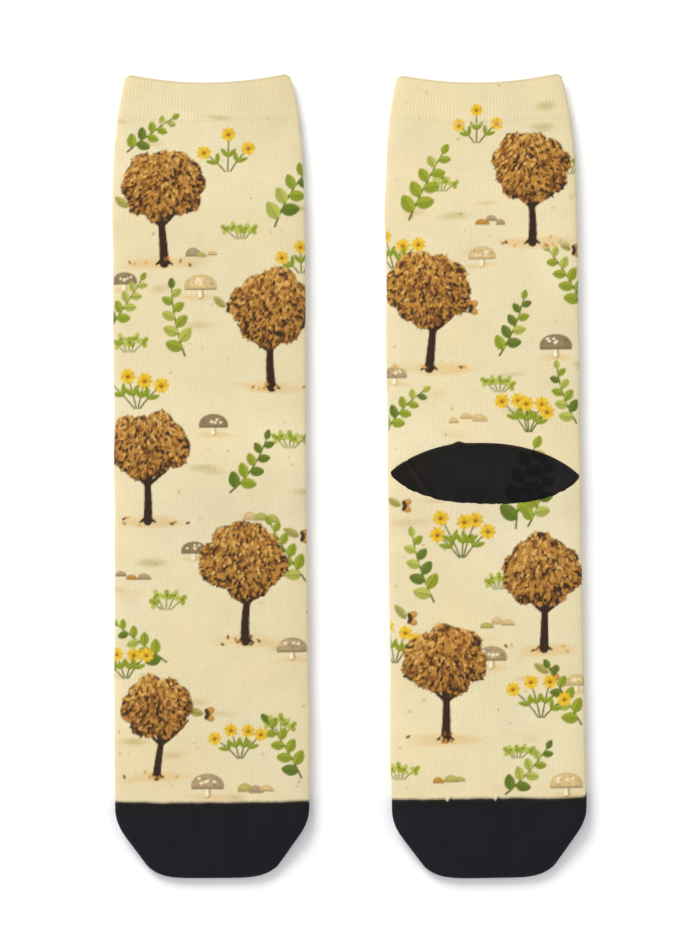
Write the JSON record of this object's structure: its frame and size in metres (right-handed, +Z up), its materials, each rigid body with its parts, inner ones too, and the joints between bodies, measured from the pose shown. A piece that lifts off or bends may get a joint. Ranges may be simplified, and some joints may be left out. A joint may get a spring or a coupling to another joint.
{
  "type": "pair of printed crew socks",
  "caption": "Pair of knitted crew socks laid flat side by side, instep up and heel up, with a pale all-over print and black heels and toes.",
  "frame": {"origin": "on the floor, under the middle of the pair's footprint", "axes": "+Z up, +Y towards the cuffs along the socks, +X from the sock laid instep up to the sock laid heel up"},
  "size_m": [0.2359, 0.4016, 0.0115],
  "materials": {
    "printed_knit": "matt fine knit, printed",
    "printed_rib": "matt ribbed knit, printed",
    "black_knit": "matt plain knit"
  },
  "bodies": {
    "root": {"left_cuff": "printed_rib", "left_leg": "printed_knit", "left_heel": "black_knit", "left_foot": "printed_knit", "left_toe": "black_knit", "right_cuff": "printed_rib", "right_leg": "printed_knit", "right_heel": "black_knit", "right_foot": "printed_knit", "right_toe": "black_knit"}
  },
  "joints": []
}
